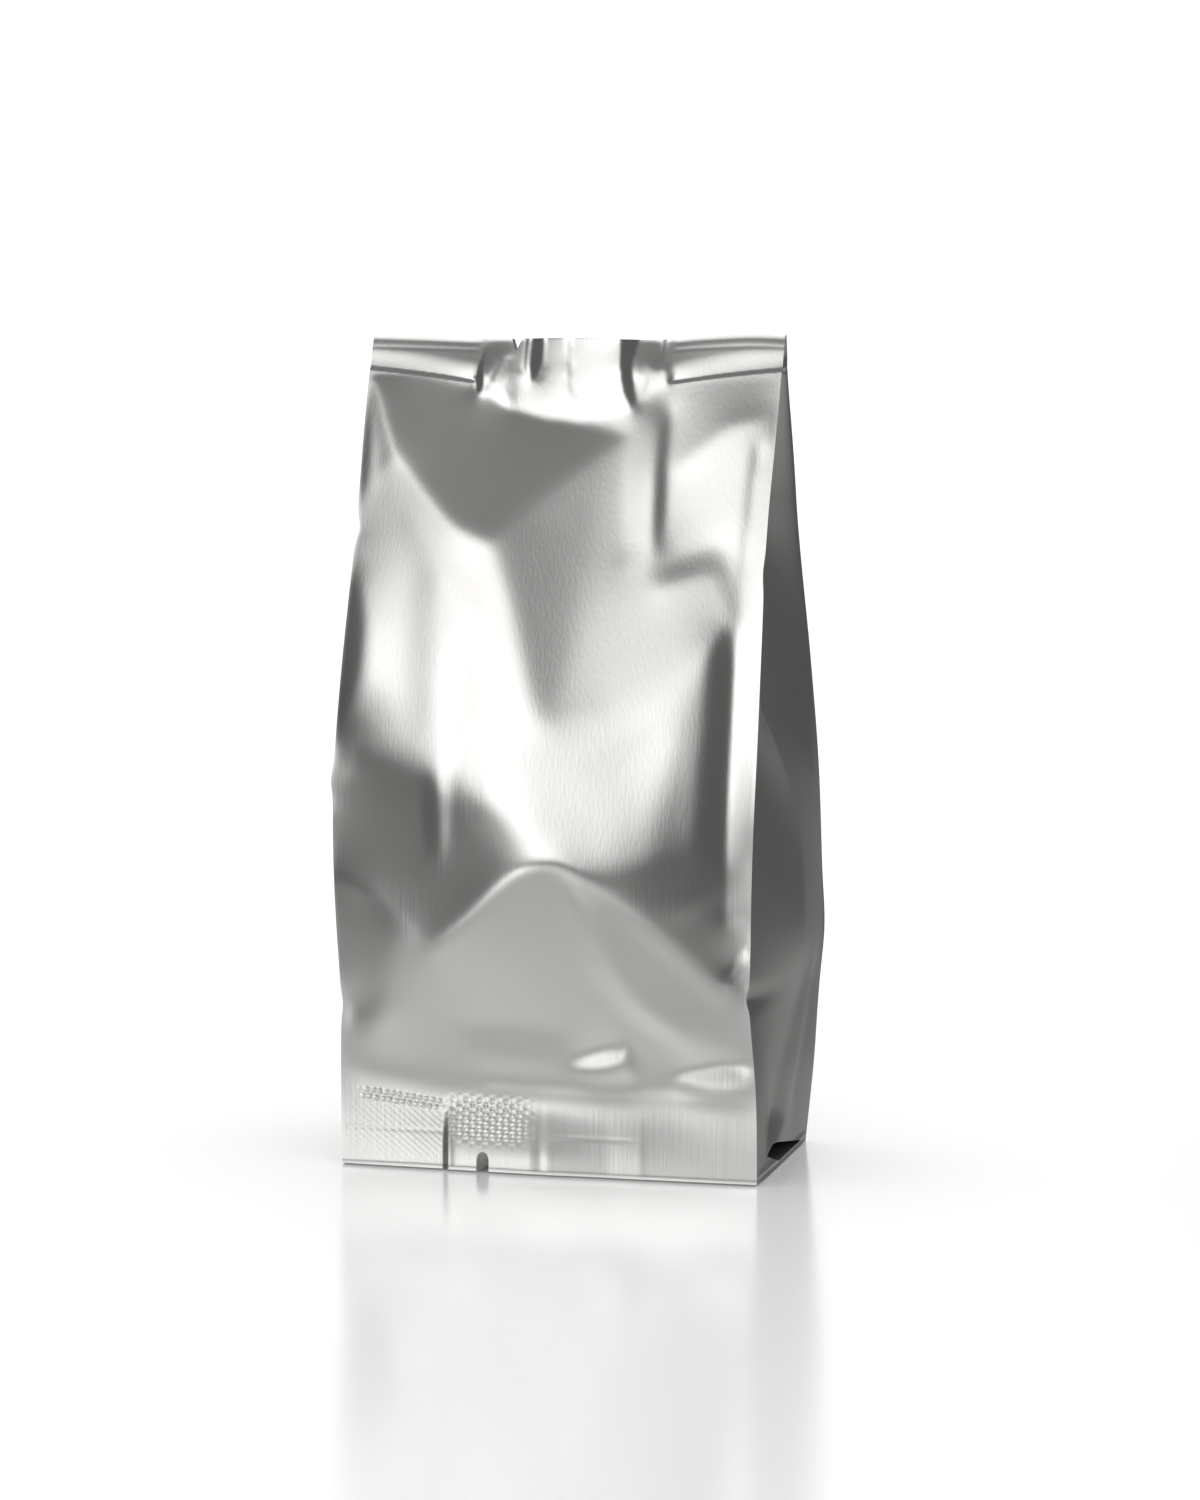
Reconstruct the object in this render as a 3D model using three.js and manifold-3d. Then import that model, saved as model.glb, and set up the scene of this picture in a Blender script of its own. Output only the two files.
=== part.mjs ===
// A tea pouch of plain aluminium foil laminate with folded-in sides, shut at both ends
// by a pressed seal, full of powder and standing on its own flat bottom.
//
// Millimetres, +Z up, the front towards -Y. The origin is under the middle of the pouch, on the floor.
//
// The skin is worked out as one closed sheet. At each height the pouch has a section with four
// sides: the front panel, the right gusset, the back panel and the left gusset. Curves along the
// height give the section's corners and how far each gusset swells. The front and the back are
// crumpled: each is the sheet whose slopes come closest to those of a few facets drawn on it.

import * as THREE from 'three';
import { ConvexGeometry } from 'three/addons/geometries/ConvexGeometry.js';
import { mergeVertices } from 'three/addons/utils/BufferGeometryUtils.js';
import Module from 'manifold-3d';

// ---------------------------------------------------------------- driving dimensions

const WIDTH = 80;              // front and back panel, edge to edge
const GUSSET_HALF = 22;        // how far each side folds in where the bag lies flat
const HEIGHT = 155;            // floor to the cut edge at the top
const TOP_SEAL = 7.5;          // height of the flat band that shuts the top
const BOTTOM_SEAL = 17;        // height of the embossed band along the foot of the front
const SEAL_THICKNESS = 1.0;    // the fused layers, a little thicker than foil so that they hold as a solid
const EDGE_LIP = 0.45;         // two layers pressed together along each upright edge
const TOP_LEAN = -0.84;        // the top stands this far to the left of the foot

// The grid that the skin is drawn on.
const PANEL_STEPS = 32;        // across the front and the back
const GUSSET_STEPS = 8;        // across each side, with its two lips
const BACK_SEAM_STEPS = 4;     // of the panel's steps, those across the lap seam
const SEAL_ROWS = 7;           // up the bottom seal
const BODY_ROWS = 34;          // up the body
const TOP_ROWS = 10;           // up the last stretch below the top edge and the top seal
const TOP_STRETCH = 18;        // height of that last stretch

// ---------------------------------------------------------------- curves along the height

// Each list holds [height, value] pairs. A curve runs smoothly through them.
const FRONT_EDGE_Y = [[0, -21.7], [17, -22.1], [36, -24.2], [62, -25], [78, -22.6], [148, 0.5], [155, 3.6]];
const BACK_EDGE_Y = [[0, 22], [17, 22.4], [45, 23.2], [66, 22.8], [82, 21], [100, 17.8], [122, 12], [137, 8],
  [148, 1.5], [155, 4.6]];
const HALF_WIDTH = [[0, 39.9], [17, 39.8], [33, 39.1], [47, 39.5], [76, 40.1], [95, 39.9], [120, 39.4],
  [140, 39.8], [155, 39.9]];
const BACK_SHIFT_X = [[0, 0], [16, 0.3], [34, 2], [46, 2.8], [66, 2.6], [100, 1.5], [125, 0.9], [148, 0],
  [155, 0]];
const SIDE_SWELL = [[0, 0], [10, 0.4], [30, 2.2], [52, 3.2], [70, 2.2], [90, 0], [155, 0]];
const GUSSET_VALLEY = [[0, 0], [68, 0], [84, 3], [102, 11], [122, 18], [138, 21.5], [155, GUSSET_HALF]];

// ---------------------------------------------------------------- facets of the crumpled panels

// Foil doesn't stretch, so a full bag breaks into nearly flat facets. Each is given as its turn to
// the right and its lean upwards, in degrees, and its corners [x, z] on the panel. Later facets lie
// over earlier ones.
const FRONT_FACETS = [
  // the filled belly, above and below the crease that runs round it
  [-2, 15, [-42, 95], [42, 95], [42, 58], [-42, 58]],
  [0, -15, [-42, 57], [-30, 53], [-20, 43], [-10, 52], [-3, 58], [5, 61], [10, 57.5], [20, 50], [30, 41],
    [35, 35], [42, 37], [42, 22], [-42, 22]],
  [-3, -20, [-34, 48], [-20, 40], [-6, 46], [-4, 30], [-10, 22], [-34, 22]],
  [12, -12, [8, 57], [14, 53], [30, 39], [36, 33], [36, 24], [22, 28], [14, 36]],
  [-12, -8, [-42, 56], [-30, 51], [-26, 44], [-30, 34], [-42, 36]],
  [-1, -20, [-42, 26], [42, 26], [42, 18], [-42, 18]],
  // the large facet under the top seal
  [1, 29, [-39, 149.5], [-33, 133], [-28, 127], [-20, 119], [-15.5, 117], [-11, 117], [-7, 120], [0, 127],
    [12, 136.5], [-8, 141], [-17, 145]],
  // the long slope left of the middle
  [-7, 17, [-42, 119], [-33, 130], [-28, 126], [-20, 118.5], [-14, 115.5], [-5, 98], [0, 84], [0, 66],
    [-8, 68], [-20, 72], [-30, 78], [-42, 86]],
  // where the left edge turns away
  [-38, 16, [-42, 117], [-38, 114], [-34.5, 104], [-35, 95], [-38, 84], [-42, 76]],
  [-36, 16, [-42, 148], [-39, 146], [-36.5, 136], [-37.5, 126], [-42, 121]],
  // the hollow right of the middle, the ridge beside it and the steep facet beside that
  [1, 25, [12, 136.5], [0, 127], [-8, 119], [-14, 115.5], [-5, 98], [0, 84], [12, 86], [14, 112], [13, 128]],
  [9, 24, [11.5, 138.5], [12, 128], [13.5, 114], [18.5, 113], [17.2, 128], [16.2, 138.5]],
  [34, 22, [16.5, 146], [20.8, 146], [21, 117], [20, 115], [18.5, 120], [17.5, 130]],
  // the top right corner, the cushion below it and the arc under that
  [-2, 27, [21, 147], [39, 148.5], [39, 140], [31, 138], [22, 130], [20.8, 125]],
  [-3, 16, [21, 117], [20.8, 125], [22, 131], [31, 138], [37, 140], [37, 116], [33, 116], [26, 113]],
  [0, 22, [16, 112], [28, 112], [34, 101], [23, 88], [6, 86], [10, 100]],
  // the middle, the trough along the right edge and the rim outside it
  [1, 13, [0, 84], [20, 81], [21, 60], [14, 57], [5, 62], [-4, 63]],
  [16, 11, [29, 98], [31, 101], [31, 50], [22, 56], [22, 82]],
  [32, 9, [31, 102], [34, 102], [36, 96], [36, 52], [31, 50]],
  [14, 3, [24, 49], [30, 56], [38, 54], [39, 42], [36, 35], [30, 41]],
  [-6, 13, [37.3, 135], [42, 137], [42, 50], [36.3, 50], [36.3, 100]],
  // the upright facet left of the middle, over the point of the crease
  [-10, 4, [-42, 64], [-34, 78], [-26, 75], [-4, 67], [-3, 59], [-10, 52], [-20, 43], [-30, 53], [-42, 56]],
  // the two rolls just above the bottom seal
  [-4, 22, [5, 21.8], [9, 24.4], [14, 25.6], [16.2, 23.2], [14, 21], [8, 20.6]],
  [0, 20, [25, 19.6], [27, 22], [33, 23.2], [41, 22.8], [41, 18.4], [32, 17.8]],
  // the foil puffs out between the ends of the two gussets
  [-4, 15, [-18, 144.5], [-10, 141], [4, 140], [12, 141], [18.3, 145.5], [18.6, 158], [-18.6, 158]],
];

const BACK_FACETS = [
  // the belly, above and below its crease
  [2, 13, [-42, 100], [42, 100], [42, 58], [-42, 58]],
  [0, -13, [-42, 50], [-24, 57], [-6, 47], [4, 49], [16, 58], [30, 50], [42, 44], [42, 20], [-42, 20]],
  [-12, -18, [-30, 50], [-8, 44], [-12, 26], [-34, 24]],
  [10, -20, [6, 46], [24, 52], [34, 40], [26, 24], [6, 26]],
  // the facets under the top seal
  [3, 28, [-39, 149], [-8, 146], [-6, 130], [-15, 121], [-30, 112], [-36, 126]],
  [-8, 17, [-36, 126], [-30, 112], [-15, 121], [-7, 104], [-6, 84], [-20, 74], [-42, 88]],
  [-3, 26, [6, 147], [22, 147], [26, 128], [14, 116], [6, 124]],
  [10, 19, [26, 128], [14, 116], [6, 98], [10, 84], [26, 86], [36, 100], [36, 124]],
  // the seam's strip stays straighter
  [-6, 20, [-6, 124], [6, 124], [6, 84], [-6, 84]],
  [26, 20, [22, 147], [27, 147], [30, 124], [26, 118]],
  // where the edges turn away
  [-30, 14, [-42, 122], [-38, 118], [-35, 100], [-38, 84], [-42, 80]],
  [30, 14, [42, 138], [38, 130], [36, 106], [38, 88], [42, 84]],
  // the upright facets of the belly, and a roll above the foot
  [-16, 6, [-40, 78], [-28, 82], [-22, 60], [-30, 54], [-40, 60]],
  [16, 5, [20, 78], [34, 84], [38, 56], [26, 50], [16, 60]],
  [-4, 16, [-30, 20.5], [-14, 21], [-10, 24], [-22, 25.5], [-34, 23.5]],
];

// The sheet is worked out on a grid of this step, each point of which takes its facets from a few
// samples round it. Each sweep moves every free point to where its neighbours want it.
const SHEET_STEP = 2.5;
const SAMPLES = 5;
const SWEEPS = 900;
const OVERSHOOT = 1.85;        // each move goes this many times as far, which settles sooner
const PUFF_HALF_WIDTH = 18.3;  // the stretch of the top seal that isn't flat

// The lap seam where the sheet was closed into a tube, down the middle of the back.
const BACK_SEAM = { width: 10, height: 0.4, edge: 0.8 };

// ---------------------------------------------------------------- notches, side tucks and the underside

const TOP_NOTCH = { x: -13.3, width: 2.3, depth: 2.0 };
const BOTTOM_NOTCH = { x: -12.2, width: 2.2, height: 3.8, depth: 3 };

// Where the gusset is folded under at the foot, a dark wedge of a pocket is left at each side.
// Its mouth has four corners, each [share of the way from front to back, height above the floor].
const TUCK_MOUTH = [[0.17, 4.2], [0.3, 6.2], [0.98, 0.9], [0.4, 1.1]];
const TUCK_DEPTH = 12;

// Under the bottom the two gusset triangles lie a layer higher than the strip across the middle.
const UNDERSIDE = { reach: 20, spread: 17, rise: 0.4 };

// ---------------------------------------------------------------- small helpers

const mix = (a, b, t) => a + (b - a) * t;

const radians = (degrees) => degrees * Math.PI / 180;

const clamp = (value, low, high) => Math.min(high, Math.max(low, value));

const easeBetween = (low, high, value) => {
  const t = clamp((value - low) / (high - low), 0, 1);
  return t * t * (3 - 2 * t);
};

// The value at height z on the smooth curve through the stations: a cubic between each two,
// with the slope at a station halfway between the slopes of its two neighbouring stretches.
function along(stations, z) {
  const last = stations.length - 1;
  const height = clamp(z, stations[0][0], stations[last][0]);
  let i = 0;
  while (i < last - 1 && height > stations[i + 1][0]) i += 1;
  const stretchSlope = (k) => {
    const j = clamp(k, 0, last - 1);
    return (stations[j + 1][1] - stations[j][1]) / (stations[j + 1][0] - stations[j][0]);
  };
  const span = stations[i + 1][0] - stations[i][0];
  const t = (height - stations[i][0]) / span;
  const startSlope = 0.5 * (stretchSlope(i - 1) + stretchSlope(i)) * span;
  const endSlope = 0.5 * (stretchSlope(i) + stretchSlope(i + 1)) * span;
  const [a, b] = [stations[i][1], stations[i + 1][1]];
  return a + t * startSlope + t * t * (3 * (b - a) - 2 * startSlope - endSlope)
    + t * t * t * (2 * (a - b) + startSlope + endSlope);
}

// True where a line from the point to the right crosses the outline an odd number of times.
function isInside(corners, x, z) {
  let inside = false;
  corners.forEach(([ax, az], i) => {
    const [bx, bz] = corners[(i + 1) % corners.length];
    if ((az > z) !== (bz > z) && x < (bx - ax) * (z - az) / (bz - az) + ax) inside = !inside;
  });
  return inside;
}

// ---------------------------------------------------------------- the crumpled sheets

// How fast y grows with x and with z on a facet that faces that way.
function slopesOf([turn, lean]) {
  const sideways = Math.tan(radians(turn));
  return [sideways, Math.tan(radians(lean)) * Math.hypot(1, sideways)];
}

// The slopes that the facets ask for round one point, as the mean of a few samples.
function wantedSlopes(facets, edge, x, z) {
  const spread = SHEET_STEP * (SAMPLES - 1) / SAMPLES;
  let [alongX, alongZ] = [0, 0];
  for (let i = 0; i < SAMPLES; i += 1) {
    for (let j = 0; j < SAMPLES; j += 1) {
      const sampleX = x + spread * (i / (SAMPLES - 1) - 0.5);
      const sampleZ = z + spread * (j / (SAMPLES - 1) - 0.5);
      const facet = facets.findLast(([, , ...corners]) => isInside(corners, sampleX, sampleZ));
      const plain = [0, (along(edge, z + 1) - along(edge, z - 1)) / 2];
      const [slopeX, slopeZ] = facet ? slopesOf(facet) : plain;
      alongX += slopeX / SAMPLES ** 2;
      alongZ += slopeZ / SAMPLES ** 2;
    }
  }
  return [alongX, alongZ];
}

// The sheet y(x, z) whose steps between neighbouring grid points are closest to the wanted slopes,
// by least squares. It keeps the edge's y along both edges and in the seals.
function sheetThrough(facets, edge) {
  const columns = WIDTH / SHEET_STEP + 1;
  const rows = HEIGHT / SHEET_STEP + 1;
  const xOf = (i) => i * SHEET_STEP - WIDTH / 2;
  const zOf = (j) => j * SHEET_STEP;
  const slopes = Array.from({ length: rows }, (_, j) => Array.from({ length: columns },
    (__, i) => wantedSlopes(facets, edge, xOf(i), zOf(j))));
  const heights = Array.from({ length: rows }, (_, j) => Array(columns).fill(along(edge, zOf(j))));
  const isFree = (i, j) => {
    if (i === 0 || i === columns - 1 || zOf(j) < BOTTOM_SEAL - 1) return false;
    return zOf(j) < HEIGHT - TOP_SEAL || Math.abs(xOf(i)) < PUFF_HALF_WIDTH;
  };
  for (let sweep = 0; sweep < SWEEPS; sweep += 1) {
    for (let j = 1; j < rows; j += 1) {
      for (let i = 1; i < columns - 1; i += 1) {
        if (!isFree(i, j)) continue;
        const near = [[-1, 0], [1, 0], [0, -1], [0, 1]].filter(([, up]) => j + up < rows);
        const wanted = near.map(([side, up]) => {
          const slope = (k) => (slopes[j][i][k] + slopes[j + up][i + side][k]) / 2 * SHEET_STEP;
          return heights[j + up][i + side] - side * slope(0) - up * slope(1);
        });
        const mean = wanted.reduce((sum, y) => sum + y, 0) / wanted.length;
        heights[j][i] += OVERSHOOT * (mean - heights[j][i]);
      }
    }
  }
  return (x, z) => {
    const column = clamp((x + WIDTH / 2) / SHEET_STEP, 0, columns - 1);
    const row = clamp(z / SHEET_STEP, 0, rows - 1);
    const i = Math.min(Math.floor(column), columns - 2);
    const j = Math.min(Math.floor(row), rows - 2);
    const low = mix(heights[j][i], heights[j][i + 1], column - i);
    const high = mix(heights[j + 1][i], heights[j + 1][i + 1], column - i);
    return mix(low, high, row - j);
  };
}

const frontSheet = sheetThrough(FRONT_FACETS, FRONT_EDGE_Y);
const backSheet = sheetThrough(BACK_FACETS, BACK_EDGE_Y.map(([z, y]) => [z, -y]));

// ---------------------------------------------------------------- the four sides

const leanAt = (z) => TOP_LEAN * z / HEIGHT;

// A sheet is drawn over the panel's width at each height, and meets the curves of its edges.
// A point of the front panel; across runs from -1 at the left edge to 1 at the right edge.
function frontPoint(across, z) {
  const x = leanAt(z) + across * along(HALF_WIDTH, z);
  return [x, frontSheet(across * WIDTH / 2, z), z];
}

// The back panel, from the same side to side, with the lap seam down its middle.
function backPoint(across, z) {
  const x = leanAt(z) + across * along(HALF_WIDTH, z) + along(BACK_SHIFT_X, z);
  const fromSeam = Math.abs(across * WIDTH / 2) - BACK_SEAM.width / 2;
  const seam = BACK_SEAM.height * (1 - easeBetween(-BACK_SEAM.edge / 2, BACK_SEAM.edge / 2, fromSeam));
  return [x, seam - backSheet(across * WIDTH / 2, z), z];
}

// A gusset joins a front edge to the back edge behind it. Where the pouch is thinner than the
// gusset is wide, its two halves fold in as a valley; lower down they open out and swell. The
// first and last strips are the pressed lips.
function gussetPoint(side, column, z) {
  const [frontX, frontY] = frontPoint(side, z);
  const [backX, backY] = backPoint(side, z);
  const depth = backY - frontY;
  const lip = Math.min(EDGE_LIP, 0.3 * depth) / depth;
  const inner = (column - 1) / (GUSSET_STEPS - 2);
  const along01 = column === 0 ? 0 : column === GUSSET_STEPS ? 1 : mix(lip, 1 - lip, inner);
  const opening = easeBetween(SEAL_THICKNESS, SEAL_THICKNESS + 2.5, depth);
  const tent = clamp((Math.min(along01, 1 - along01) - lip) / (0.5 - lip), 0, 1);
  const valley = along(GUSSET_VALLEY, z) * opening * tent;
  const swell = along(SIDE_SWELL, z) * 4 * along01 * (1 - along01);
  return [mix(frontX, backX, along01) + side * (swell - valley), mix(frontY, backY, along01), z];
}

// ---------------------------------------------------------------- the closed skin

function rowHeights() {
  const rows = [];
  const bodyTop = HEIGHT - TOP_STRETCH;
  for (let i = 0; i < SEAL_ROWS; i += 1) rows.push(BOTTOM_SEAL * i / SEAL_ROWS);
  for (let i = 0; i < BODY_ROWS; i += 1) rows.push(mix(BOTTOM_SEAL, bodyTop, i / BODY_ROWS));
  for (let i = 0; i <= TOP_ROWS; i += 1) rows.push(mix(bodyTop, HEIGHT, i / TOP_ROWS));
  return rows;
}

// The columns of the back stand close together at the two edges of the lap seam.
function backAcross(i) {
  const middle = BACK_SEAM_STEPS / 2;
  const fromMiddle = i - PANEL_STEPS / 2;
  const inside = (BACK_SEAM.width / 2 - BACK_SEAM.edge / 2) / (WIDTH / 2);
  const outside = (BACK_SEAM.width / 2 + BACK_SEAM.edge / 2) / (WIDTH / 2);
  const steps = Math.abs(fromMiddle);
  const rest = PANEL_STEPS / 2 - middle - 1;
  const across = steps <= middle ? inside * steps / middle : mix(outside, 1, (steps - middle - 1) / rest);
  return Math.sign(fromMiddle) * across;
}

// One ring of points round the pouch: front left to right, right gusset, back right to left,
// left gusset.
function ringAt(z) {
  const ring = [];
  for (let i = 0; i < PANEL_STEPS; i += 1) ring.push(frontPoint(2 * i / PANEL_STEPS - 1, z));
  for (let i = 0; i < GUSSET_STEPS; i += 1) ring.push(gussetPoint(1, i, z));
  for (let i = PANEL_STEPS; i > 0; i -= 1) ring.push(backPoint(backAcross(i), z));
  for (let i = GUSSET_STEPS; i > 0; i -= 1) ring.push(gussetPoint(-1, i, z));
  return ring;
}

// A flat end: the grid between the front row and the back row of a ring.
function endGrid(ring, row) {
  const turn = PANEL_STEPS + GUSSET_STEPS;
  const corner = (i, j) => {
    if (j === 0) return row + i;
    if (j === GUSSET_STEPS) return row + turn + PANEL_STEPS - i;
    if (i === PANEL_STEPS) return row + PANEL_STEPS + j;
    if (i === 0) return row + (ring.length - j) % ring.length;
    return null;
  };
  return corner;
}

function skinGeometry() {
  const heights = rowHeights();
  const rings = heights.map(ringAt);
  const perRing = rings[0].length;
  const points = rings.flat();
  const triangles = [];
  const addQuad = (a, b, c, d) => triangles.push([a, b, c], [a, c, d]);
  for (let row = 0; row < rings.length - 1; row += 1) {
    for (let i = 0; i < perRing; i += 1) {
      const next = (i + 1) % perRing;
      const low = row * perRing;
      const high = low + perRing;
      addQuad(low + i, low + next, high + next, high + i);
    }
  }
  for (const top of [false, true]) {
    const row = top ? (rings.length - 1) * perRing : 0;
    const ring = top ? rings[rings.length - 1] : rings[0];
    const onRim = endGrid(ring, row);
    const inside = new Map();
    const at = (i, j) => {
      const rim = onRim(i, j);
      if (rim !== null) return rim;
      const key = i * (GUSSET_STEPS + 1) + j;
      if (!inside.has(key)) {
        const front = points[onRim(i, 0)];
        const back = points[onRim(i, GUSSET_STEPS)];
        const right = points[onRim(PANEL_STEPS, j)];
        const share = (right[1] - points[onRim(PANEL_STEPS, 0)][1])
          / (points[onRim(PANEL_STEPS, GUSSET_STEPS)][1] - points[onRim(PANEL_STEPS, 0)][1]);
        inside.set(key, points.length);
        points.push(front.map((value, k) => mix(value, back[k], share)));
      }
      return inside.get(key);
    };
    for (let i = 0; i < PANEL_STEPS; i += 1) {
      for (let j = 0; j < GUSSET_STEPS; j += 1) {
        const quad = [at(i, j), at(i + 1, j), at(i + 1, j + 1), at(i, j + 1)];
        if (!top) quad.reverse();
        addQuad(...quad);
      }
    }
  }
  const geometry = new THREE.BufferGeometry();
  geometry.setAttribute('position', new THREE.Float32BufferAttribute(points.flat(), 3));
  geometry.setIndex(triangles.flat());
  return geometry;
}

// ---------------------------------------------------------------- the cutters

// A prism with the outline drawn in x and z, running through the given stretch of y.
function prismAlongY(outline, fromY, toY) {
  const shape = new THREE.Shape(outline.map(([x, z]) => new THREE.Vector2(x, z)));
  const prism = new THREE.ExtrudeGeometry(shape, { depth: toY - fromY, bevelEnabled: false });
  prism.rotateX(Math.PI / 2);
  prism.translate(0, toY, 0);
  return prism;
}

function topNotchCutter() {
  const { x, width, depth } = TOP_NOTCH;
  const above = HEIGHT + 1;
  return prismAlongY([[x - width / 2, above], [x, HEIGHT - depth], [x + width / 2, above]], -10, 12);
}

function bottomNotchCutter() {
  const { x, width, height, depth } = BOTTOM_NOTCH;
  const outline = [[x - width / 2, -1], [x + width / 2, -1], [x + width / 2, height * 0.6], [x, height],
    [x - width / 2, height * 0.6]];
  const frontY = along(FRONT_EDGE_Y, 0);
  return prismAlongY(outline, frontY - 5, frontY + depth);
}

// The tuck at one side: a wedge from its mouth in the side to a short edge deep inside.
function tuckCutter(side) {
  const frontY = along(FRONT_EDGE_Y, 0);
  const backY = along(BACK_EDGE_Y, 0);
  const mouthX = side * (WIDTH / 2 + 4);
  const mouth = TUCK_MOUTH.map(([share, z]) => [mouthX, mix(frontY, backY, share), z]);
  const innerX = side * (WIDTH / 2 - TUCK_DEPTH);
  const inner = [[innerX, mix(frontY, backY, 0.34), 2.6], [innerX, mix(frontY, backY, 0.6), 1.9]];
  return new ConvexGeometry([...mouth, ...inner].map((point) => new THREE.Vector3(...point)));
}

// The shallow triangle under one end of the bottom.
function undersideCutter(side) {
  const { reach, spread, rise } = UNDERSIDE;
  const outerX = side * (WIDTH / 2 - 4);
  const innerX = side * (WIDTH / 2 - 4 - reach);
  const shape = new THREE.Shape([new THREE.Vector2(outerX, -spread), new THREE.Vector2(innerX, 0),
    new THREE.Vector2(outerX, spread)]);
  const prism = new THREE.ExtrudeGeometry(shape, { depth: rise + 1, bevelEnabled: false });
  prism.translate(0, 0, -1);
  return prism;
}

// ---------------------------------------------------------------- cutting and handing over

const wasm = await Module();
wasm.setup();

function toSolid(geometry) {
  const plain = geometry.clone();
  plain.deleteAttribute('normal');
  plain.deleteAttribute('uv');
  const merged = mergeVertices(plain, 1e-4);
  return new wasm.Manifold(new wasm.Mesh({
    numProp: 3,
    vertProperties: new Float32Array(merged.attributes.position.array),
    triVerts: new Uint32Array(merged.index.array),
  }));
}

function toGeometry(solid) {
  const mesh = solid.getMesh();
  const geometry = new THREE.BufferGeometry();
  geometry.setAttribute('position', new THREE.Float32BufferAttribute(mesh.vertProperties, 3));
  geometry.setIndex(Array.from(mesh.triVerts));
  return geometry;
}

// The origin is under the middle of the finished pouch.
function centre(geometry) {
  geometry.computeBoundingBox();
  const { min, max } = geometry.boundingBox;
  geometry.translate(-(min.x + max.x) / 2, -(min.y + max.y) / 2, -min.z);
  geometry.computeVertexNormals();
  return geometry;
}

function pouchGeometry() {
  const cutters = [topNotchCutter(), bottomNotchCutter(), tuckCutter(-1), tuckCutter(1), undersideCutter(-1),
    undersideCutter(1)];
  const solid = cutters.reduce((body, cutter) => body.subtract(toSolid(cutter)), toSolid(skinGeometry()));
  return centre(toGeometry(solid));
}

const foil = new THREE.MeshStandardMaterial({ color: 0xc9c8c6, metalness: 1.0, roughness: 0.3 });

const pouch = new THREE.Mesh(pouchGeometry(), foil);
pouch.name = 'pouch';

const group = new THREE.Group();
group.add(pouch);

export default group;
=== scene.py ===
# %% [markdown]
# # A foil tea pouch, one surface at a time
#
# The real pouch is one sheet of aluminium foil laminate. It was closed into a tube by a lap seam
# down the back, its two sides were folded inwards as gussets, and heat seals shut it at the foot
# and at the top. Powder fills it, so the flat panels bulge and crumple between stiff creases.
#
# A crumple like this could be sculpted by hand or simulated as cloth, but both are hard to steer
# towards one given pouch. Here each facet of a panel is drawn as a polygon with its tilt, and the
# panel is the sheet whose slopes come closest to all of those tilts, so a crease is moved by
# changing one line.

import bmesh
import bpy
import numpy as np
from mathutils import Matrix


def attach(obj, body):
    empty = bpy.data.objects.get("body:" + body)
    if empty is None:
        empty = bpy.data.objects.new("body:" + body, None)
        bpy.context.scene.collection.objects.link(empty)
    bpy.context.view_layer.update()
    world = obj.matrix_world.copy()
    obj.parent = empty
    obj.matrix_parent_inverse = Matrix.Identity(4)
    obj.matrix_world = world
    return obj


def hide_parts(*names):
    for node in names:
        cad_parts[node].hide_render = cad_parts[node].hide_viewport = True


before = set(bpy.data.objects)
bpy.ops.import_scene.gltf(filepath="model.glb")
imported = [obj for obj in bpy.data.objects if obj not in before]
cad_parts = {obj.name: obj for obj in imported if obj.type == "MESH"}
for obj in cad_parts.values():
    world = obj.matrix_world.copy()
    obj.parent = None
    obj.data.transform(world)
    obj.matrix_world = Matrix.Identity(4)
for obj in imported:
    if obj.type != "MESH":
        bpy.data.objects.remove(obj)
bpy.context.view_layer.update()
MM = 0.001  # everything below is worked out in millimetres and ends in metres

# %% [markdown]
# ## The flat bag
#
# These are the sizes that the bag maker sets, and the pouch's whole form follows from them. The
# curves along the height say how the filled bag stands: where the creases between the panels run,
# and how far each panel bulges between them.

# %% Sizes and curves
WIDTH = 80.0
HEIGHT = 155.0
GUSSET_HALF = 22.0  # half the depth of a side
TOP_SEAL = 7.5
BOTTOM_SEAL = 17.0
SEAL_THICKNESS = 1.0
TOP_LEAN = -0.84  # how far the top stands to the right of the foot

# [height, value] pairs: first where the creases run between the panels
FRONT_EDGE_Y = [[0, -21.7], [17, -22.1], [36, -24.2], [62, -25], [78, -22.6], [148, 0.5],
                [151, 1.85], [155, 3.75]]
BACK_EDGE_Y = [[0, 22], [17, 22.4], [45, 23.2], [66, 22.8], [82, 21], [100, 17.8], [122, 12],
               [137, 8], [148, 1.5], [151, 2.85], [155, 4.75]]
HALF_WIDTH = [[0, 39.9], [17, 39.8], [33, 39.1], [47, 39.5], [76, 40.1], [95, 39.9],
              [120, 39.4], [140, 39.8], [155, 39.9]]
# how far the back stands to the right of the front, because the filled bag has slumped
BACK_SHIFT_X = [[0, 0], [20, 2.1], [38, 4.0], [42, 4.1], [54, 3.3], [70, 2.6], [100, 1.5],
                [125, 0.9], [148, 0], [155, 0]]
# how far a side bulges out, and how deep its middle is folded in
SIDE_SWELL = [[0, 0], [10, 0.4], [30, 2.2], [52, 3.2], [70, 2.2], [90, 0], [155, 0]]
GUSSET_VALLEY = [[0, 0], [68, 0], [84, 3], [102, 10], [122, 16], [136, 14], [148, 7], [155, 3]]
# how far the back leaf of the top seal stands off at its ends, where the gusset lies open
LEAF_OPENING = [[0, 0], [125, 0], [137, 0.6], [148, 4.4], [155, 0]]


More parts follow.
